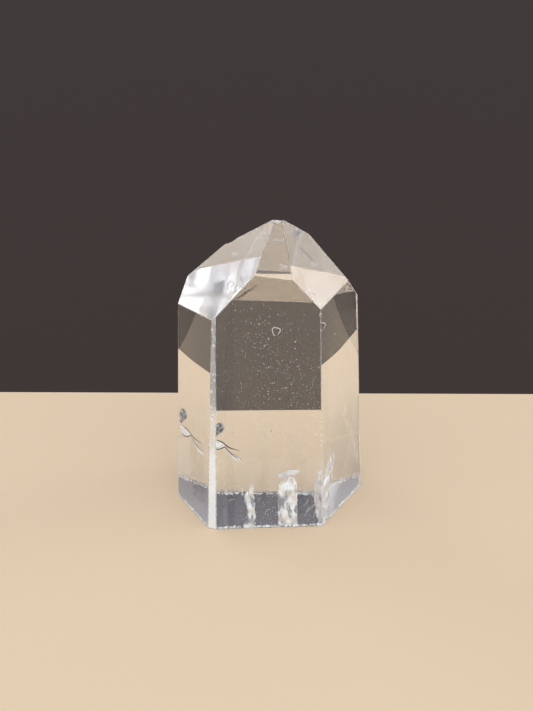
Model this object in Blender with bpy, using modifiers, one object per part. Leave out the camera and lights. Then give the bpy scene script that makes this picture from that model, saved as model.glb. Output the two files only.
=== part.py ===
# Quartz point: one clear six-sided crystal that stands on a flat sawn foot.
# The body is a rough block cut by one named plane for every crystal face, the
# way a lapidary grinds one, then the edges are worn and a few flakes knocked off.
# Metres, +Z up, the widest plain side faces -Y, the foot lies on Z = 0.

import math

import bpy
import bmesh
from mathutils import Matrix, Vector

MM = 0.001

# Driving sizes
ROUGH_WIDTH = 70.0 * MM
EDGE_WEAR = 0.07 * MM
WEAR_STEPS = 2
SHARPEST_KEPT_ANGLE = math.radians(4.0)

# Each face: compass direction it looks to (0 is -Y, 90 is +X), how far its
# outward direction leans from straight up, both in degrees, and how far it
# lies from the middle of the foot, in millimetres.
SIDES = {
    "front side": (0.0, 89.8, 8.16),
    "front left edge flat": (-20.0, 89.5, 10.44),
    "left side": (-62.1, 88.3, 11.8),
    "right side": (56.0, 88.6, 10.34),
    "back side": (174.6, 89.2, 7.17),
    "back left side": (-113.6, 88.3, 12.57),
    "back right side": (120.2, 86.4, 12.52),
}
TIP = {
    "front tip": (7.8, 49.3, 31.44),
    "left tip": (-70.2, 50.1, 29.17),
    "right tip": (51.0, 55.6, 27.51),
    "back tip": (173.4, 55.9, 23.15),
    "back right tip": (113.8, 54.7, 27.61),
    "back left tip": (-126.6, 46.3, 31.6),
    "worn apex": (10.0, 7.0, 44.58),
}

# Flakes knocked off the edges, each a shallow scoop: middle of the scooping
# ellipsoid, its half sizes, in millimetres, and its turn about Z in degrees.
FLAKES = {
    "left shoulder flake": ((-6.81, 2.80, 43.28), (4.0, 4.0, 4.0), 0.0),
    "front foot flake": ((-3.47, -8.62, 0.55), (0.95, 0.75, 0.95), 0.0),
    "front foot small flake": ((0.63, -8.49, 0.05), (0.6, 0.5, 0.5), 20.0),
    "right foot flake": ((8.03, -6.92, -0.15), (0.8, 0.8, 0.65), -30.0),
    "front left top flake": ((-8.47, -8.42, 31.9), (0.6, 0.55, 1.0), 0.0),
    "front right top flake": ((6.33, -8.32, 33.7), (0.55, 0.5, 0.75), 0.0),
}
FLAKE_FINENESS = 3


def face_direction(compass, lean):
    turn = math.radians(compass)
    tilt = math.radians(lean)
    return Vector((
        math.sin(turn) * math.sin(tilt),
        -math.cos(turn) * math.sin(tilt),
        math.cos(tilt),
    ))


def slice_off(mesh, point, direction):
    """Cut away all that lies beyond a plane and close the cut with one face."""
    whole = mesh.verts[:] + mesh.edges[:] + mesh.faces[:]
    cut = bmesh.ops.bisect_plane(
        mesh,
        geom=whole,
        plane_co=point,
        plane_no=direction,
        clear_outer=True,
    )
    rim = [item for item in cut["geom_cut"] if isinstance(item, bmesh.types.BMEdge)]
    bmesh.ops.contextual_create(mesh, geom=rim)


def clear_scene():
    for item in list(bpy.data.objects):
        bpy.data.objects.remove(item, do_unlink=True)


def new_collection(name):
    collection = bpy.data.collections.new(name)
    bpy.context.scene.collection.children.link(collection)
    return collection


def quartz_material():
    material = bpy.data.materials.new("quartz")
    material.use_nodes = True
    shader = material.node_tree.nodes["Principled BSDF"]
    shader.inputs["Base Color"].default_value = (0.93, 0.93, 0.91, 1.0)
    shader.inputs["Roughness"].default_value = 0.03
    shader.inputs["IOR"].default_value = 1.544
    shader.inputs["Transmission Weight"].default_value = 1.0
    material.diffuse_color = (0.86, 0.87, 0.86, 1.0)
    return material


def build_crystal(collection):
    """The faceted body, from a rough block with its underside on Z = 0."""
    mesh = bmesh.new()
    block = Matrix.Translation((0.0, 0.0, ROUGH_WIDTH / 2))
    bmesh.ops.create_cube(mesh, size=ROUGH_WIDTH, matrix=block)
    for compass, lean, distance in list(SIDES.values()) + list(TIP.values()):
        direction = face_direction(compass, lean)
        slice_off(mesh, direction * distance * MM, direction)
    bmesh.ops.recalc_face_normals(mesh, faces=mesh.faces)
    data = bpy.data.meshes.new("crystal")
    mesh.to_mesh(data)
    mesh.free()
    crystal = bpy.data.objects.new("crystal", data)
    collection.objects.link(crystal)
    data.materials.append(quartz_material())
    return crystal


def wear_edges(crystal):
    wear = crystal.modifiers.new("worn edges", "BEVEL")
    wear.width = EDGE_WEAR
    wear.segments = WEAR_STEPS
    wear.limit_method = "ANGLE"
    wear.angle_limit = SHARPEST_KEPT_ANGLE
    wear.use_clamp_overlap = True
    return wear


def knock_off_flake(crystal, collection, name, place, half_sizes, turn):
    """One shallow scoop taken out of an edge by an ellipsoid cutter."""
    mesh = bmesh.new()
    bmesh.ops.create_icosphere(mesh, subdivisions=FLAKE_FINENESS, radius=1.0)
    shape = Matrix.Diagonal((*[size * MM for size in half_sizes], 1.0))
    spin = Matrix.Rotation(math.radians(turn), 4, "Z")
    shift = Matrix.Translation(Vector(place) * MM)
    bmesh.ops.transform(mesh, matrix=shift @ spin @ shape, verts=mesh.verts)
    data = bpy.data.meshes.new(name)
    mesh.to_mesh(data)
    mesh.free()
    cutter = bpy.data.objects.new(name, data)
    collection.objects.link(cutter)
    cutter.hide_render = True
    cutter.display_type = "WIRE"
    scoop = crystal.modifiers.new(name, "BOOLEAN")
    scoop.operation = "DIFFERENCE"
    scoop.solver = "EXACT"
    scoop.object = cutter


def main():
    clear_scene()
    kept = new_collection("quartz point")
    cutters = new_collection("cutters")
    crystal = build_crystal(kept)
    wear_edges(crystal)
    for name, (place, half_sizes, turn) in FLAKES.items():
        knock_off_flake(crystal, cutters, name, place, half_sizes, turn)


main()
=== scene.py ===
import math
import random

import bmesh
import bpy
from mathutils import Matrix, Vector, noise


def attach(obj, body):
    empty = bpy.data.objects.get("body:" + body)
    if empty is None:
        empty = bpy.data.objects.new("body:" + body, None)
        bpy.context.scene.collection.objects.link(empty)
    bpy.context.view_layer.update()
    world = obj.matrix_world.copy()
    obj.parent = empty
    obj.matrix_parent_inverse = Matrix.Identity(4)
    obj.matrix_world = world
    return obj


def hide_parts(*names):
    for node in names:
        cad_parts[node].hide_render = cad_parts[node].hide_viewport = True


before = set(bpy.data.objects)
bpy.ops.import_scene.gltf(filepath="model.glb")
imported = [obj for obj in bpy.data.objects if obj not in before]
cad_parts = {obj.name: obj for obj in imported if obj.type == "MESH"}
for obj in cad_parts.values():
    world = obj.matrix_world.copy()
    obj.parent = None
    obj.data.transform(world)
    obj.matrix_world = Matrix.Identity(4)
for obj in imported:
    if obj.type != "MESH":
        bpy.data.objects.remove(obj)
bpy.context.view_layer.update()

MM = 0.001

# Where the crystal stands: a plain pale slab with a straight back edge, which
# shows refracted through the clear sides. The crystal rests on it by its foot,
# with only a breath of air between.
SLAB_EDGE_POINT = Vector((-7.24, 29.74, 0.0)) * MM
SLAB_EDGE_TURN = math.radians(3.38)
SLAB_HALF_WIDTH = 500 * MM
SLAB_DEPTH = 600 * MM
SLAB_THICKNESS = 20 * MM
AIR_UNDER_FOOT = 0.05 * MM
SLAB_COLOUR = (0.735, 0.585, 0.41, 1.0)
SLAB_ROUGHNESS = 0.6


def new_material(name):
    material = bpy.data.materials.new(name)
    material.use_nodes = True
    return material, material.node_tree.nodes, material.node_tree.links


def new_piece(name, mesh, materials):
    data = bpy.data.meshes.new(name)
    mesh.to_mesh(data)
    mesh.free()
    for material in materials:
        data.materials.append(material)
    piece = bpy.data.objects.new(name, data)
    bpy.context.scene.collection.objects.link(piece)
    return piece


def pale_slab_material():
    material, nodes, links = new_material("pale_slab")
    shader = nodes["Principled BSDF"]
    shader.inputs["Base Color"].default_value = SLAB_COLOUR
    shader.inputs["Roughness"].default_value = SLAB_ROUGHNESS
    return material


def lay_slab():
    along = Vector((math.cos(SLAB_EDGE_TURN), -math.sin(SLAB_EDGE_TURN), 0.0))
    back = Vector((math.sin(SLAB_EDGE_TURN), math.cos(SLAB_EDGE_TURN), 0.0))
    mesh = bmesh.new()
    corners = []
    for z in (-AIR_UNDER_FOOT, -AIR_UNDER_FOOT - SLAB_THICKNESS):
        for side, depth in ((-1, 0.0), (1, 0.0), (1, -SLAB_DEPTH), (-1, -SLAB_DEPTH)):
            spot = SLAB_EDGE_POINT + along * side * SLAB_HALF_WIDTH + back * depth
            corners.append(mesh.verts.new((spot.x, spot.y, z)))
    top, under = corners[:4], corners[4:]
    mesh.faces.new(top[::-1])
    mesh.faces.new(under)
    for i in range(4):
        mesh.faces.new((top[i], top[(i + 1) % 4], under[(i + 1) % 4], under[i]))
    slab = new_piece("pale_slab", mesh, [pale_slab_material()])
    return slab


lay_slab()

# The light round the crystal: dark and warm low behind it, turning through slate
# to soft and bright overhead, open and pale in front, and one soft box above. The
# clear faces throw that light about inside, which is what lights the tip.
SKY_STRENGTH = 1.35
# Each step of the two skies: its height, from -1 below to 1 overhead, and its colour.
DARK_BACK = (
    (-0.60, (0.038, 0.029, 0.027)),
    (0.48, (0.041, 0.037, 0.041)),
    (0.580, (0.044, 0.048, 0.070)),
    (0.600, (0.081, 0.085, 0.111)),
    (0.640, (0.267, 0.274, 0.311)),
    (0.70, (0.62, 0.62, 0.66)),
    (0.95, (0.64, 0.64, 0.68)),
)
PALE_FRONT = (
    (-0.30, (0.13, 0.11, 0.10)),
    (0.03, (0.88, 0.87, 0.86)),
    (0.75, (0.82, 0.82, 0.83)),
    (0.95, (0.64, 0.64, 0.68)),
)
# Towards the sides, and more so at the left, the bright part starts a little lower.
SIDEWAYS_LIFT = 0.05
LEFTWARD_LIFT = -0.03
# The pale front gives way to the dark back between these two directions along Y.
PALE_UP_TO = -0.05
DARK_FROM = 0.30
# Soft round glows that the polished tip faces mirror, left and right: the direction
# of each, the cosine of the angle that it spreads over, and how bright it is.
SOFT_GLOWS = (
    (Vector((-0.734, 0.621, 0.273)), 0.93, (1.45, 1.42, 1.45, 1.0)),
    (Vector((0.919, 0.202, 0.340)), 0.95, (1.35, 1.35, 1.45, 1.0)),
)
SOFT_BOX_PLACE = Vector((0.0, -0.17, 0.52))
SOFT_BOX_AIM = Vector((0.0, 0.0, 0.02))
SOFT_BOX_SIZE = 0.36
SOFT_BOX_POWER = 0.45
SOFT_BOX_COLOUR = (1.0, 0.98, 0.95)


def sky_ramp(nodes, links, level, colours):
    span = nodes.new("ShaderNodeMapRange")
    span.inputs["From Min"].default_value = -1.0
    span.inputs["From Max"].default_value = 1.0
    ramp = nodes.new("ShaderNodeValToRGB")
    stops = ramp.color_ramp.elements
    while len(stops) < len(colours):
        stops.new(0.5)
    for stop, (height, colour) in zip(stops, colours):
        stop.position = (height + 1.0) / 2.0
        stop.color = (*colour, 1.0)
    links.new(level, span.inputs["Value"])
    links.new(span.outputs["Result"], ramp.inputs["Fac"])
    return ramp.outputs["Color"]


def add_glow(nodes, links, direction, lit, towards, edge, glow):
    """A soft round glow on the sky about one direction."""
    nearness = nodes.new("ShaderNodeVectorMath")
    nearness.operation = "DOT_PRODUCT"
    nearness.inputs[1].default_value = towards.normalized()
    fade = nodes.new("ShaderNodeMapRange")
    fade.interpolation_type = "SMOOTHSTEP"
    fade.inputs["From Min"].default_value = edge
    fade.inputs["From Max"].default_value = (1.0 + edge) / 2.0
    more = nodes.new("ShaderNodeMix")
    more.data_type = "RGBA"
    more.blend_type = "ADD"
    more.inputs["B"].default_value = glow
    links.new(direction, nearness.inputs[0])
    links.new(nearness.outputs["Value"], fade.inputs["Value"])
    links.new(fade.outputs["Result"], more.inputs["Factor"])
    links.new(lit, more.inputs["A"])
    return more.outputs["Result"]


def hang_surround():
    world = bpy.data.worlds.new("soft_surround")
    bpy.context.scene.world = world
    world.use_nodes = True
    nodes, links = world.node_tree.nodes, world.node_tree.links
    place = nodes.new("ShaderNodeTexCoord")
    parts = nodes.new("ShaderNodeSeparateXYZ")
    sideways = nodes.new("ShaderNodeMath")
    sideways.operation = "ABSOLUTE"
    height = nodes.new("ShaderNodeMath")
    height.operation = "MULTIPLY_ADD"
    height.inputs[1].default_value = SIDEWAYS_LIFT
    slant = nodes.new("ShaderNodeMath")
    slant.operation = "MULTIPLY_ADD"
    slant.inputs[1].default_value = LEFTWARD_LIFT
    links.new(place.outputs["Generated"], parts.inputs[0])
    links.new(parts.outputs["X"], sideways.inputs[0])
    links.new(parts.outputs["X"], slant.inputs[0])
    links.new(parts.outputs["Z"], slant.inputs[2])
    links.new(sideways.outputs[0], height.inputs[0])
    links.new(slant.outputs[0], height.inputs[2])
    turned = nodes.new("ShaderNodeMapRange")
    turned.interpolation_type = "SMOOTHSTEP"
    turned.inputs["From Min"].default_value = PALE_UP_TO
    turned.inputs["From Max"].default_value = DARK_FROM
    links.new(parts.outputs["Y"], turned.inputs["Value"])
    both = nodes.new("ShaderNodeMix")
    both.data_type = "RGBA"
    links.new(turned.outputs["Result"], both.inputs["Factor"])
    links.new(sky_ramp(nodes, links, parts.outputs["Z"], PALE_FRONT), both.inputs["A"])
    links.new(sky_ramp(nodes, links, height.outputs[0], DARK_BACK), both.inputs["B"])
    lit = both.outputs["Result"]
    for towards, edge, glow in SOFT_GLOWS:
        lit = add_glow(nodes, links, place.outputs["Generated"], lit, towards, edge, glow)
    links.new(lit, nodes["Background"].inputs["Color"])
    nodes["Background"].inputs["Strength"].default_value = SKY_STRENGTH
    return world


def hang_soft_box():
    lamp = bpy.data.lights.new("soft_box", "AREA")
    lamp.shape = "SQUARE"
    lamp.size = SOFT_BOX_SIZE
    lamp.energy = SOFT_BOX_POWER
    lamp.color = SOFT_BOX_COLOUR
    box = bpy.data.objects.new("soft_box", lamp)
    box.location = SOFT_BOX_PLACE
    box.rotation_mode = "QUATERNION"
    box.rotation_quaternion = (SOFT_BOX_AIM - SOFT_BOX_PLACE).to_track_quat("-Z", "Y")
    bpy.context.scene.collection.objects.link(box)
    return box


hang_surround()
hang_soft_box()

# The crystal itself: one clear quartz point, six ground sides with a narrow flat
# along the front left edge and a six-faced tip. The faces were polished by hand,
# so they wave a little and hold dust, and the edges are worn to a frosted line.
CLEAR_INDEX = 1.545
QUARTZ_COLOUR = (1.0, 0.995, 0.98, 1.0)
# Dust, coarse and fine: how far apart the places for a grain are, and how big it is.
COARSE_DUST = (0.60 * MM, 0.085 * MM)
FINE_DUST = (0.32 * MM, 0.055 * MM)
GRAIN_CORE = 0.6
DUST_WHITENESS = 0.8
DUST_PATCHES = 9.0 * MM
DUST_BETWEEN_PATCHES = 0.35
CLOUD_SIZE = 5.0 * MM
SMEAR_SIZE = 4.0 * MM
SMEAR_ROUGHNESS = 0.035
WAVE_LENGTH = 9.0 * MM
# Worn edges, and the flat along the front left edge: frosted up to a height that is
# given as the start and the end of its fading, with small chips all the way up.
WORN_COLOUR = (0.96, 0.965, 0.97, 1.0)
PIT_DEPTH = 0.05 * MM
FLAT_COLOUR = (0.90, 0.95, 1.0, 1.0)
FROST_TOP = (12.0 * MM, 15.5 * MM)
FROST_WHITENESS = (0.86, 0.38)
CHIP_SIZE = 0.42 * MM
CHIP_WHITENESS = 0.85
# A triangle takes the finish of the large flat face in whose plane it lies, or else
# of a worn edge. High on the front, those edges are the rounded ridges of the tip.
SMALLEST_FACE = 3.0 * MM * MM
ON_THE_PLANE = 0.004 * MM
SAME_WAY = 0.999
TIP_RIDGES = 36.0 * MM
RIDGE_FACES_FRONT = -0.4
TIP_LEANS_UP = 0.4
TIP_FACES_ASIDE = 0.5
SIDE_FACES_FRONT = -0.3
FRONT_LEFT_FLAT = Vector((math.sin(math.radians(-20.0)), -math.cos(math.radians(-20.0)), 0.0))
FRONT_SIDE = Vector((0.0, -1.0, 0.0))
# The left and right sides were ground slightly round: the radius of that round, and
# how far back from the front edge its highest line runs, as a share of the side.
SIDE_CROWN = 75.0 * MM
CROWN_MIDDLE = 0.45
FINISHES = (
    "clear_backs", "front_side", "left_side", "right_side", "front_tip", "side_tips",
    "sawn_foot", "frosted_flat", "worn_edges", "rounded_ridges",
)


def noise_field(nodes, links, place, size, detail=2.0, stretch=(1.0, 1.0, 1.0), seed=0.0):
    """A smooth noise over the piece, with features about size metres across."""
    spread = nodes.new("ShaderNodeMapping")
    spread.inputs["Scale"].default_value = stretch
    spread.inputs["Location"].default_value = (seed, seed * 0.7, seed * 1.3)
    field = nodes.new("ShaderNodeTexNoise")
    field.inputs["Scale"].default_value = 1.0 / size
    field.inputs["Detail"].default_value = detail
    links.new(place, spread.inputs["Vector"])
    links.new(spread.outputs[0], field.inputs["Vector"])
    return field.outputs["Fac"]


def ramp_between(nodes, links, value, low, high, start, end):
    """start where value is at or under low, end where it is at or over high."""
    span = nodes.new("ShaderNodeMapRange")
    span.inputs["From Min"].default_value = low
    span.inputs["From Max"].default_value = high
    span.inputs["To Min"].default_value = start
    span.inputs["To Max"].default_value = end
    links.new(value, span.inputs["Value"])
    return span.outputs["Result"]


def combine(nodes, links, how, first, second):
    step = nodes.new("ShaderNodeMath")
    step.operation = how
    for socket, value in zip(step.inputs, (first, second)):
        if isinstance(value, (int, float)):
            socket.default_value = value
        else:
            links.new(value, socket)
    return step.outputs[0]


def dust_mask(nodes, links, place, spacing, radius, share, seed):
    """1 inside small round grains: one cell in so many holds a grain."""
    shift = nodes.new("ShaderNodeMapping")
    shift.inputs["Location"].default_value = (seed, -seed, seed * 0.5)
    cells = nodes.new("ShaderNodeTexVoronoi")
    cells.inputs["Scale"].default_value = 1.0 / spacing
    tint = nodes.new("ShaderNodeSeparateColor")
    links.new(place, shift.inputs["Vector"])
    links.new(shift.outputs[0], cells.inputs["Vector"])
    links.new(cells.outputs["Color"], tint.inputs["Color"])
    rim = radius / spacing
    near = ramp_between(nodes, links, cells.outputs["Distance"], rim * GRAIN_CORE, rim, 1.0, 0.0)
    chosen = combine(nodes, links, "LESS_THAN", tint.outputs["Red"], share)
    return combine(nodes, links, "MULTIPLY", near, chosen)


def crown_height(nodes, links, place, along, middle, radius):
    """How far a face that was ground slightly round falls away from its highest line."""
    reach = nodes.new("ShaderNodeVectorMath")
    reach.operation = "DOT_PRODUCT"
    reach.inputs[1].default_value = along
    links.new(place, reach.inputs[0])
    aside = combine(nodes, links, "SUBTRACT", reach.outputs["Value"], middle)
    square = combine(nodes, links, "MULTIPLY", aside, aside)
    return combine(nodes, links, "MULTIPLY", square, -0.5 / radius)


def polished_material(name, wave, haze, dust_share, cloud=0.0, satin=0.0, crown=None):
    """Polished quartz: clear, a little wavy, with white dust and a thin haze. satin is
    how rough it is between its smears."""
    material, nodes, links = new_material(name)
    shader = nodes["Principled BSDF"]
    shader.inputs["Base Color"].default_value = QUARTZ_COLOUR
    shader.inputs["IOR"].default_value = CLEAR_INDEX
    spot = nodes.new("ShaderNodeTexCoord")
    place = spot.outputs["Object"]
    coarse = dust_mask(nodes, links, place, *COARSE_DUST, dust_share * 0.5, seed=0.017)
    fine = dust_mask(nodes, links, place, *FINE_DUST, dust_share, seed=0.031)
    patches = noise_field(nodes, links, place, DUST_PATCHES, 3.0, seed=5.1)
    where = ramp_between(nodes, links, patches, 0.42, 0.54, DUST_BETWEEN_PATCHES, 1.0)
    grains = combine(nodes, links, "MAXIMUM", coarse, fine)
    dust = combine(nodes, links, "MULTIPLY", grains, where)
    clouds = noise_field(nodes, links, place, CLOUD_SIZE, 3.0, (1.0, 1.0, 0.55), seed=1.7)
    veiled = ramp_between(nodes, links, clouds, 0.40, 0.66, haze, haze + cloud)
    dusty = combine(nodes, links, "MULTIPLY", dust, DUST_WHITENESS)
    white = combine(nodes, links, "MAXIMUM", veiled, dusty)
    clear = combine(nodes, links, "SUBTRACT", 1.0, white)
    links.new(clear, shader.inputs["Transmission Weight"])
    smears = noise_field(nodes, links, place, SMEAR_SIZE, 4.0, (1.0, 1.0, 0.35), seed=0.9)
    rough = ramp_between(nodes, links, smears, 0.5, 0.75, satin, satin + SMEAR_ROUGHNESS)
    links.new(rough, shader.inputs["Roughness"])
    waves = noise_field(nodes, links, place, WAVE_LENGTH, 1.0, seed=0.2)
    height = combine(nodes, links, "MULTIPLY", waves, wave)
    if crown:
        height = combine(nodes, links, "ADD", height, crown_height(nodes, links, place, *crown))
    bump = nodes.new("ShaderNodeBump")
    bump.inputs["Strength"].default_value = 1.0
    bump.inputs["Distance"].default_value = 1.0
    links.new(height, bump.inputs["Height"])
    links.new(bump.outputs[0], shader.inputs["Normal"])
    return material


def worn_material(name, clear_low, clear_high, grain):
    """Ground and bruised quartz: a frosted white skin, broken by clear spots."""
    material, nodes, links = new_material(name)
    shader = nodes["Principled BSDF"]
    shader.inputs["Base Color"].default_value = WORN_COLOUR
    shader.inputs["IOR"].default_value = CLEAR_INDEX
    spot = nodes.new("ShaderNodeTexCoord")
    place = spot.outputs["Object"]
    bruises = noise_field(nodes, links, place, grain, 3.0, seed=0.6)
    clear = ramp_between(nodes, links, bruises, 0.42, 0.58, clear_low, clear_high)
    links.new(clear, shader.inputs["Transmission Weight"])
    rough = ramp_between(nodes, links, bruises, 0.35, 0.65, 0.12, 0.45)
    links.new(rough, shader.inputs["Roughness"])
    bump = nodes.new("ShaderNodeBump")
    bump.inputs["Strength"].default_value = 0.5
    bump.inputs["Distance"].default_value = PIT_DEPTH
    links.new(bruises, bump.inputs["Height"])
    links.new(bump.outputs[0], shader.inputs["Normal"])
    return material


def edge_flat_material():
    """The narrow flat: frosted near the foot and thinner above, with a row of chips."""
    material, nodes, links = new_material("frosted_flat")
    shader = nodes["Principled BSDF"]
    shader.inputs["Base Color"].default_value = FLAT_COLOUR
    shader.inputs["IOR"].default_value = CLEAR_INDEX
    spot = nodes.new("ShaderNodeTexCoord")
    place = spot.outputs["Object"]
    axes = nodes.new("ShaderNodeSeparateXYZ")
    links.new(place, axes.inputs[0])
    frost = ramp_between(nodes, links, axes.outputs["Z"], *FROST_TOP, *FROST_WHITENESS)
    chips = noise_field(nodes, links, place, CHIP_SIZE, 2.0, seed=0.3)
    chipped = ramp_between(nodes, links, chips, 0.58, 0.64, 0.0, CHIP_WHITENESS)
    white = combine(nodes, links, "MAXIMUM", frost, chipped)
    clear = combine(nodes, links, "SUBTRACT", 1.0, white)
    links.new(clear, shader.inputs["Transmission Weight"])
    rough = ramp_between(nodes, links, white, 0.0, 1.0, 0.05, 0.4)
    links.new(rough, shader.inputs["Roughness"])
    bump = nodes.new("ShaderNodeBump")
    bump.inputs["Strength"].default_value = 0.6
    bump.inputs["Distance"].default_value = PIT_DEPTH
    links.new(chips, bump.inputs["Height"])
    links.new(bump.outputs[0], shader.inputs["Normal"])
    return material


def flat_faces(mesh):
    """The large flat faces of the crystal, each as the direction and depth of its plane."""
    areas = {}
    largest = {}
    for face in mesh.faces:
        turn = face.normal
        depth = turn.dot(face.calc_center_median())
        key = (round(turn.x, 2), round(turn.y, 2), round(turn.z, 2), round(depth / MM, 1))
        areas[key] = areas.get(key, 0.0) + face.calc_area()
        if key not in largest or face.calc_area() > largest[key][0]:
            largest[key] = (face.calc_area(), turn.copy(), depth)
    wide = [key for key in largest if areas[key] > SMALLEST_FACE]
    return [largest[key][1:] for key in wide]


def lies_on(face, plane):
    turn, depth = plane
    return all(abs(turn.dot(vert.co) - depth) < ON_THE_PLANE for vert in face.verts)


def finish_of(face, planes):
    """Which finish a triangle takes, by the flat face it lies on, or else as an edge."""
    plane = next((plane for plane in planes if lies_on(face, plane)), None)
    if plane is None:
        high = face.calc_center_median().z > TIP_RIDGES
        return "rounded_ridges" if high and face.normal.y < RIDGE_FACES_FRONT else "worn_edges"
    turn = plane[0]
    if turn.z < -SAME_WAY:
        return "sawn_foot"
    if turn.z > TIP_LEANS_UP:
        aside = abs(turn.x) > TIP_FACES_ASIDE and turn.y < 0.0
        return "side_tips" if aside else "front_tip"
    if turn.dot(FRONT_LEFT_FLAT) > SAME_WAY:
        return "frosted_flat"
    if turn.dot(FRONT_SIDE) > SAME_WAY:
        return "front_side"
    if turn.y < SIDE_FACES_FRONT:
        return "left_side" if turn.x < 0.0 else "right_side"
    return "clear_backs"


def crown_of(mesh, finish):
    """The level direction across one side, the place of its highest line, and its
    roundness."""
    faces = [face for face in mesh.faces if face.material_index == FINISHES.index(finish)]
    along = Vector((-faces[0].normal.y, faces[0].normal.x, 0.0)).normalized()
    spots = [vert.co for face in faces for vert in face.verts]
    front = along.dot(min(spots, key=lambda spot: spot.y))
    back = along.dot(max(spots, key=lambda spot: spot.y))
    return along, front + (back - front) * CROWN_MIDDLE, SIDE_CROWN


def build_crystal():
    mesh = bmesh.new()
    mesh.from_mesh(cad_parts["crystal"].data)
    bmesh.ops.remove_doubles(mesh, verts=mesh.verts, dist=0.002 * MM)
    planes = flat_faces(mesh)
    for face in mesh.faces:
        face.smooth = False
        face.material_index = FINISHES.index(finish_of(face, planes))
    left_crown = crown_of(mesh, "left_side")
    right_crown = crown_of(mesh, "right_side")
    crystal = new_piece("clear_crystal", mesh, [
        polished_material("clear_backs", wave=0.010 * MM, haze=0.004, dust_share=0.30),
        polished_material("front_side", wave=0.006 * MM, haze=0.035, dust_share=0.62),
        polished_material("left_side", wave=0.02 * MM, haze=0.025, dust_share=0.35, crown=left_crown),
        polished_material("right_side", wave=0.02 * MM, haze=0.025, dust_share=0.35, crown=right_crown),
        polished_material("front_tip", wave=0.03 * MM, haze=0.02, dust_share=0.10, cloud=0.03, satin=0.03),
        polished_material("side_tips", wave=0.10 * MM, haze=0.03, dust_share=0.10, cloud=0.10, satin=0.08),
        polished_material("sawn_foot", wave=0.004 * MM, haze=0.003, dust_share=0.7),
        edge_flat_material(),
        worn_material("worn_edges", clear_low=0.45, clear_high=0.95, grain=0.5 * MM),
        worn_material("rounded_ridges", clear_low=0.90, clear_high=0.98, grain=0.8 * MM),
    ])
    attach(crystal, "root")
    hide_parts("crystal")
    return crystal


build_crystal()

# The healed cracks near the foot: thin milky sheets that rise from the sawn foot
# just behind the front and right sides, torn at their tops, with fine streaks.
FRONT_VEIL_DEPTH = -7.72
VEIL_LEAN = 0.24
VEIL_RIPPLE = 0.18
RIPPLE_PACE = (1.2, 0.8)
LEFT_TEAR_PACE = 1.9
RIGHT_TEAR_PACE = 2.3
LOWEST_POINT = 0.04
# The right side, by its front edge and the way it runs back from there.
RIGHT_FRONT_EDGE = (6.62, -7.75)
RIGHT_SIDE_TURN = math.radians(56.0)
RIGHT_VEIL_DEPTH = 0.45
RIGHT_LEAN_SHARE = 0.6
FILM_ROUGHNESS = 0.36
FILM_MIRROR = 0.9
THIN_FILM_COLOUR = (0.86, 0.92, 1.0, 1.0)
THICK_FILM_COLOUR = (0.95, 0.98, 1.0, 1.0)
STREAK_SHARE = 0.65
VEIL_CLOUD_SHARE = 0.35
VEIL_CLOUD_SIZE = 2.2 * MM
# Each veil as rows up from the foot, in millimetres: height, left edge, right edge.
LEFT_VEIL = (
    (0.05, -3.70, -2.65), (1.5, -3.55, -2.50), (3.0, -3.70, -2.60),
    (4.2, -4.05, -2.62), (5.3, -3.85, -2.70), (6.2, -3.35, -2.75), (7.0, -3.0, -2.8),
)
MIDDLE_VEIL = (
    (0.10, 0.68, 3.38), (2.0, 0.68, 3.42), (4.0, 0.67, 3.40),
    (5.6, 0.70, 3.45), (6.6, 0.85, 3.3), (7.3, 1.3, 3.1), (7.7, 1.9, 2.9),
)
VEIL_CAP = (
    (7.7, 0.8, 2.0), (8.1, 0.7, 3.2), (8.5, 1.4, 3.8), (8.75, 2.3, 3.5),
)
RIGHT_VEIL = (
    (0.1, 0.35, 1.7), (2.0, 0.15, 2.4), (4.0, 0.10, 2.9),
    (6.0, 0.20, 3.4), (7.5, 1.5, 4.0), (8.8, 2.7, 4.6), (10.2, 4.1, 4.5),
)


def milky_material(name, streak, thin, thick, hold_low, hold_high):
    """A white film seen through in streaks that run up from the foot. It holds air,
    so it mirrors the light like frosted silver."""
    material, nodes, links = new_material(name)
    shader = nodes["Principled BSDF"]
    shader.inputs["Roughness"].default_value = FILM_ROUGHNESS
    shader.inputs["Metallic"].default_value = FILM_MIRROR
    spot = nodes.new("ShaderNodeTexCoord")
    place = spot.outputs["Object"]
    fibres = noise_field(nodes, links, place, streak, 5.0, (1.0, 1.0, 0.2), seed=0.8)
    clouds = noise_field(nodes, links, place, VEIL_CLOUD_SIZE, 3.0, seed=0.5)
    streaky = combine(nodes, links, "MULTIPLY", fibres, STREAK_SHARE)
    cloudy = combine(nodes, links, "MULTIPLY", clouds, VEIL_CLOUD_SHARE)
    body = combine(nodes, links, "ADD", streaky, cloudy)
    hold = ramp_between(nodes, links, body, thin, thick, hold_low, hold_high)
    links.new(hold, shader.inputs["Alpha"])
    blend = nodes.new("ShaderNodeValToRGB")
    blend.color_ramp.elements[0].color = THIN_FILM_COLOUR
    blend.color_ramp.elements[0].position = 0.35
    blend.color_ramp.elements[1].color = THICK_FILM_COLOUR
    blend.color_ramp.elements[1].position = 0.6
    links.new(fibres, blend.inputs["Fac"])
    links.new(blend.outputs["Color"], shader.inputs["Base Color"])
    return material


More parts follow.
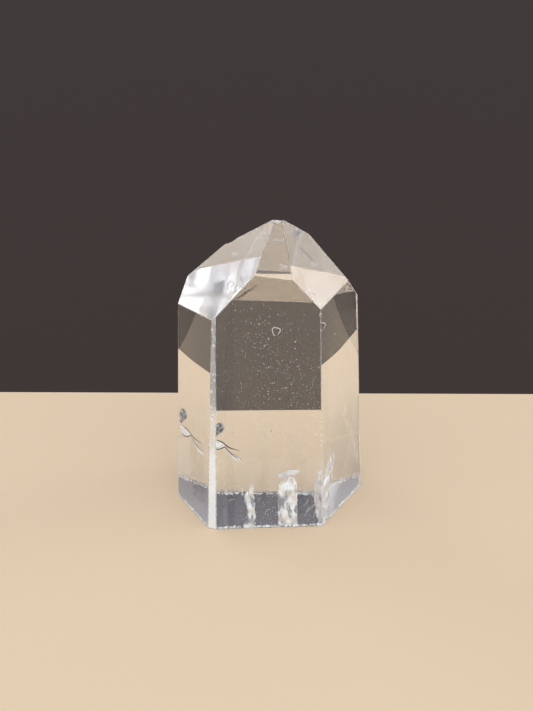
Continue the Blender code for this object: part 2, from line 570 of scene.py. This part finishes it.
def crack_sheet(name, rows, place_at, material, ragged, across=10, between=6):
    """A thin sheet through rows of (height, left edge, right edge), torn at its edges."""
    mesh = bmesh.new()
    grid = []
    for i, (below, above) in enumerate(zip(rows, rows[1:])):
        last = i == len(rows) - 2
        for step in range(between + last):
            part = step / between
            height, left, right = (a * (1 - part) + b * part for a, b in zip(below, above))
            tear = noise.noise(Vector((height * LEFT_TEAR_PACE, 0.3, len(name)))) * ragged
            nick = noise.noise(Vector((height * RIGHT_TEAR_PACE, 7.1, len(name)))) * ragged
            row = []
            for j in range(across + 1):
                aside = left + tear + (right + nick - left - tear) * j / across
                spot = Vector((aside * RIPPLE_PACE[0], height * RIPPLE_PACE[1], 2.0))
                ripple = noise.noise(spot) * VEIL_RIPPLE
                row.append(mesh.verts.new(place_at(aside, max(height, LOWEST_POINT), ripple)))
            grid.append(row)
    for low, high in zip(grid, grid[1:]):
        for j in range(across):
            mesh.faces.new((low[j], low[j + 1], high[j + 1], high[j]))
    sheet = new_piece(name, mesh, [material])
    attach(sheet, "root")
    return sheet


def behind_front(aside, height, ripple):
    return Vector((aside, FRONT_VEIL_DEPTH + ripple + height * VEIL_LEAN, height)) * MM


def behind_right(aside, height, ripple):
    """aside runs back along the right side from its front edge."""
    edge = Vector((*RIGHT_FRONT_EDGE, height))
    along = Vector((math.cos(RIGHT_SIDE_TURN), math.sin(RIGHT_SIDE_TURN), 0.0))
    inward = Vector((-math.sin(RIGHT_SIDE_TURN), math.cos(RIGHT_SIDE_TURN), 0.0))
    lean = inward * (RIGHT_VEIL_DEPTH + ripple + height * VEIL_LEAN * RIGHT_LEAN_SHARE)
    return (edge + along * aside + lean) * MM


milky_film = milky_material("milky_film", 0.5 * MM, thin=0.43, thick=0.54, hold_low=0.28, hold_high=1.0)
bright_film = milky_material("bright_film", 0.5 * MM, thin=0.36, thick=0.46, hold_low=0.60, hold_high=1.0)
crack_sheet("left_foot_veil", LEFT_VEIL, behind_front, milky_film, ragged=0.25)
crack_sheet("middle_foot_veil", MIDDLE_VEIL, behind_front, milky_film, ragged=0.10)
crack_sheet("middle_veil_cap", VEIL_CAP, behind_front, bright_film, ragged=0.25)
crack_sheet("right_foot_veil", RIGHT_VEIL, behind_right, bright_film, ragged=0.30)

# The chipped rim of the foot: the saw left a fine row of white bruises just inside
# the edge all round, which shows as a pale fuzzy line through the clear sides.
RIM_INSET = 0.16 * MM
RIM_STEP = 0.35 * MM
RIM_LOW = 0.03 * MM
RIM_HEIGHT = 0.34 * MM
# How ragged its top is: the least share of that height, and what chance adds to it.
RIM_LEAST = 0.6
RIM_SWING = 1.6


def foot_corners():
    """The corners of the sawn foot in order round it."""
    spots = {}
    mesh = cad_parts["crystal"].data
    for face in mesh.polygons:
        if face.normal.z < -SAME_WAY:
            for index in face.vertices:
                spot = mesh.vertices[index].co
                spots[(round(spot.x / MM, 2), round(spot.y / MM, 2))] = spot.copy()
    return sorted(spots.values(), key=lambda spot: math.atan2(spot.y, spot.x))


def bruise_rim():
    mesh = bmesh.new()
    corners = foot_corners()
    rows = []
    for here, there in zip(corners, corners[1:] + corners[:1]):
        steps = max(1, round((there - here).length / RIM_STEP))
        for step in range(steps):
            spot = here.lerp(there, step / steps)
            inward = Vector((-spot.x, -spot.y, 0.0)).normalized()
            ragged = RIM_LEAST + RIM_SWING * abs(noise.noise(spot / MM * 1.3))
            low = spot + inward * RIM_INSET + Vector((0.0, 0.0, RIM_LOW))
            high = low + inward * RIM_INSET + Vector((0.0, 0.0, RIM_HEIGHT * ragged))
            rows.append((mesh.verts.new(low), mesh.verts.new(high)))
    for (low, high), (next_low, next_high) in zip(rows, rows[1:] + rows[:1]):
        mesh.faces.new((low, next_low, next_high, high))
    bruised = milky_material("bruised_rim", 0.25 * MM, thin=0.40, thick=0.55, hold_low=0.05, hold_high=0.95)
    rim = new_piece("foot_rim_bruises", mesh, [bruised])
    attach(rim, "root")
    return rim


bruise_rim()

# The wisp: a flake of air caught in a crack in the back left corner, white where it
# is rough, with two thin legs running forward. Its head's grey, banded dark to light,
# is painted shade and painted reflection, and its near-black outlines are painted
# shade. It lies in one leaning crack, so its outlines are in millimetres along that
# crack and up it.
WISP_PLACE = Vector((-8.28, 6.24, 8.3))
CRACK_ALONG = Vector((0.766, -0.643, 0.0))
CRACK_UP = Vector((0.212, 0.253, 0.944))
WISP_HEAD = (
    (-0.5, 3.2), (-0.1, 3.9), (0.5, 4.2), (1.1, 3.9), (1.3, 3.4), (1.0, 2.7),
    (0.4, 2.2), (0.1, 1.7), (-0.3, 1.5), (-0.6, 2.2),
)
WISP_WEDGE = (
    (-0.4, 1.0), (0.0, 1.4), (1.2, 1.1), (2.0, 0.9), (2.1, 0.5), (1.4, 0.1),
    (0.6, -0.1), (-0.1, 0.0),
)
WISP_LEG = ((2.1, 0.6), (2.8, 0.0), (4.7, -0.6), (5.2, -0.4), (5.3, -1.1), (4.2, -1.0), (2.2, 0.2))
WISP_UPPER_LINE = ((0.0, 1.4), (1.4, 1.2), (2.9, 0.6), (4.7, 0.5))
WISP_LOWER_LINE = (
    (0.0, 0.0), (0.6, -0.15), (1.4, 0.1), (2.1, 0.6), (2.6, 0.2), (3.7, -0.4), (5.2, -1.0),
)
WISP_LOOP_LINE = ((5.2, -1.0), (5.35, -0.6), (4.7, -0.55), (3.6, -0.1))
AIR_FILM_ROUGHNESS = 0.3
BAND_WIDTH = 0.7 * MM
FLAKE_SWELL = Vector((0.4, 0.8, 0.3))
FLAKE_RIPPLE = 0.15
THREAD_END = 0.35
OFF_AXIS = Vector((0.31, 0.52, 0.79))


def on_crack(along, up):
    return WISP_PLACE + CRACK_ALONG * along + CRACK_UP * up


def air_film_material(name, dark, light, low, high, mirror=0.0, shine=0.5):
    """The mirror-like wall of a thin air gap, in bands from dark to light. On the wisp's head and outlines,
    that dark is painted shade.
    """
    material, nodes, links = new_material(name)
    shader = nodes["Principled BSDF"]
    shader.inputs["Roughness"].default_value = AIR_FILM_ROUGHNESS
    shader.inputs["Metallic"].default_value = mirror
    shader.inputs["Specular IOR Level"].default_value = shine
    spot = nodes.new("ShaderNodeTexCoord")
    place = spot.outputs["Object"]
    bands = noise_field(nodes, links, place, BAND_WIDTH, 3.0, seed=0.1)
    blend = nodes.new("ShaderNodeValToRGB")
    blend.color_ramp.elements[0].color = dark
    blend.color_ramp.elements[0].position = low
    blend.color_ramp.elements[1].color = light
    blend.color_ramp.elements[1].position = high
    links.new(bands, blend.inputs["Fac"])
    links.new(blend.outputs["Color"], shader.inputs["Base Color"])
    return material


def flake_sheet(name, rim, material):
    """A thin flake inside a rim of points, rippled a little across its middle."""
    mesh = bmesh.new()
    ring = [mesh.verts.new(on_crack(*spot) * MM) for spot in rim]
    mesh.faces.new(ring)
    bmesh.ops.triangulate(mesh, faces=mesh.faces)
    bmesh.ops.subdivide_edges(mesh, edges=mesh.edges[:], cuts=3, use_grid_fill=True)
    for vert in mesh.verts:
        if not vert.is_boundary:
            vert.co += FLAKE_SWELL * noise.noise(vert.co / MM * 1.7) * FLAKE_RIPPLE * MM
    flake = new_piece(name, mesh, [material])
    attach(flake, "root")
    return flake


def thread(name, path, radius, material):
    """A hair-thin six-sided line through points in millimetres, thinner at its ends."""
    mesh = bmesh.new()
    rings = []
    for i, spot in enumerate(path):
        ahead = (path[min(i + 1, len(path) - 1)] - path[max(i - 1, 0)]).normalized()
        side = ahead.cross(OFF_AXIS).normalized()
        up = ahead.cross(side)
        wide = radius * (THREAD_END if i in (0, len(path) - 1) else 1.0)
        ring = []
        for k in range(6):
            turn = k * math.pi / 3
            out = side * math.cos(turn) + up * math.sin(turn)
            ring.append(mesh.verts.new((spot + out * wide) * MM))
        rings.append(ring)
    for low, high in zip(rings, rings[1:]):
        for k in range(6):
            mesh.faces.new((low[k], low[(k + 1) % 6], high[(k + 1) % 6], high[k]))
    mesh.faces.new(rings[0][::-1])
    mesh.faces.new(rings[-1])
    line = new_piece(name, mesh, [material])
    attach(line, "root")
    return line


# The wisp's head: its bands from dark grey to light grey are painted shade and painted reflection.
painted_shade_film = air_film_material(
    "air_film_painted_shade", (0.07, 0.075, 0.09, 1.0), (0.55, 0.58, 0.63, 1.0), low=0.42, high=0.66, mirror=0.75,
)
white_film = air_film_material(
    "white_air_film", (0.90, 0.92, 0.95, 1.0), (1.0, 1.0, 1.0, 1.0), low=0.4, high=0.5, mirror=0.85,
)
# The wisp's outlines: near-black lines with almost no shine, painted shade along the crack's edges.
painted_shade_line = air_film_material(
    "crack_line_painted_shade", (0.006, 0.006, 0.01, 1.0), (0.03, 0.03, 0.04, 1.0), low=0.45, high=0.7, shine=0.05,
)
flake_sheet("wisp_head", WISP_HEAD, painted_shade_film)
flake_sheet("wisp_wedge", WISP_WEDGE, white_film)
flake_sheet("wisp_leg", WISP_LEG, white_film)
for name, spots, radius in (
    ("wisp_upper_line", WISP_UPPER_LINE, 0.10),
    ("wisp_lower_line", WISP_LOWER_LINE, 0.085),
    ("wisp_loop_line", WISP_LOOP_LINE, 0.05),
):
    thread(name, [on_crack(*spot) for spot in spots], radius, painted_shade_line)

# Small marks: an open ring-shaped bruise near the back side, hair cracks just above
# the foot, most of them at the front right, and a few dark grains caught inside.
BRUISE_CENTRE = Vector((0.80, 6.60, 26.75))
BRUISE_RADIUS = 0.54
BRUISE_START = -62.0
BRUISE_SWEEP = 325.0
BRUISE_STEPS = 14
BRUISE_UNEVEN = 0.16
BRUISE_TALLER = 1.15
RING_LINE = 0.06
HAIR_LINE = 0.045
# Hair cracks just behind the front side: points in millimetres across and up.
HAIR_CRACKS = (
    ((4.75, 2.3), (5.3, 3.0), (5.9, 3.75), (6.5, 4.5)),
    ((5.25, 5.45), (5.6, 5.0), (6.05, 4.7)),
    ((4.4, 1.6), (4.8, 2.6), (5.1, 3.3)),
    ((5.7, 1.2), (5.9, 2.2), (6.4, 2.7)),
    ((4.2, 3.4), (4.7, 3.9), (4.9, 4.6)),
    ((-6.3, 4.6), (-5.9, 4.9), (-5.4, 4.8)),
    ((-1.2, 2.2), (-0.9, 2.9), (-0.4, 3.1)),
)
DARK_GRAINS = (
    (1.1, -2.0, 13.6), (0.0, 1.5, 12.6), (-6.4, -3.0, 11.5), (2.6, -4.0, 7.2), (-7.9, 0.5, 8.0),
)
GRAIN_SIZE = (0.07, 0.12)
GRAIN_LUMPS = (0.75, 1.2)


def ring_points():
    """Points round an uneven open ring that stands upright near the back side."""
    points = []
    for i in range(BRUISE_STEPS + 1):
        turn = math.radians(BRUISE_START + BRUISE_SWEEP * i / BRUISE_STEPS)
        reach = BRUISE_RADIUS * (1.0 + BRUISE_UNEVEN * math.sin(turn * 3.0 + 0.6))
        out = Vector((math.cos(turn) * reach, 0.0, math.sin(turn) * reach * BRUISE_TALLER))
        points.append(BRUISE_CENTRE + out)
    return points


def dark_grain_material():
    return air_film_material(
        "dark_grain", (0.05, 0.035, 0.02, 1.0), (0.2, 0.14, 0.09, 1.0), low=0.4, high=0.6,
    )


def grain_cluster():
    mesh = bmesh.new()
    random.seed(7)
    for spot in DARK_GRAINS:
        size = random.uniform(*GRAIN_SIZE) * MM
        made = bmesh.ops.create_icosphere(mesh, subdivisions=1, radius=size)
        for vert in made["verts"]:
            vert.co = vert.co * random.uniform(*GRAIN_LUMPS) + Vector(spot) * MM
    grains = new_piece("dark_grains", mesh, [dark_grain_material()])
    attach(grains, "root")
    return grains


pale_line = air_film_material(
    "pale_crack_line", (0.85, 0.86, 0.88, 1.0), (1.0, 1.0, 1.0, 1.0), low=0.4, high=0.6,
)
thread("bruise_ring", ring_points(), RING_LINE, pale_line)
for number, crack in enumerate(HAIR_CRACKS, 1):
    path = [Vector((aside, FRONT_VEIL_DEPTH, height)) for aside, height in crack]
    thread("hair_crack_%d" % number, path, HAIR_LINE, pale_line)
grain_cluster()

# The camera, low in front and a little to the left, looking down at the crystal
# with a long lens, where the photograph was taken from.
CAMERA_PLACE = Vector((-8.395, -152.011, 107.785)) * MM
CAMERA_YAW = math.radians(2.9527)
CAMERA_PITCH = math.radians(29.0006)
SENSOR_WIDTH = 36.0
FOCAL_PIXELS = 1257.19
FRAME_HEIGHT_PIXELS = 711


def set_camera():
    lens = bpy.data.cameras.new("front_camera")
    lens.sensor_width = SENSOR_WIDTH
    lens.lens = SENSOR_WIDTH * FOCAL_PIXELS / FRAME_HEIGHT_PIXELS
    lens.clip_start = 0.005
    lens.clip_end = 20.0
    camera = bpy.data.objects.new("front_camera", lens)
    camera.location = CAMERA_PLACE
    look = Vector((
        math.sin(CAMERA_YAW) * math.cos(CAMERA_PITCH),
        math.cos(CAMERA_YAW) * math.cos(CAMERA_PITCH),
        -math.sin(CAMERA_PITCH),
    ))
    camera.rotation_mode = "QUATERNION"
    camera.rotation_quaternion = look.to_track_quat("-Z", "Y")
    scene = bpy.context.scene
    scene.collection.objects.link(camera)
    scene.camera = camera
    scene.view_settings.view_transform = "Standard"
    scene.cycles.max_bounces = 24
    scene.cycles.transmission_bounces = 24
    scene.cycles.glossy_bounces = 16
    scene.cycles.transparent_max_bounces = 24
    scene.cycles.sample_clamp_indirect = 4.0
    scene.cycles.use_denoising = True


set_camera()
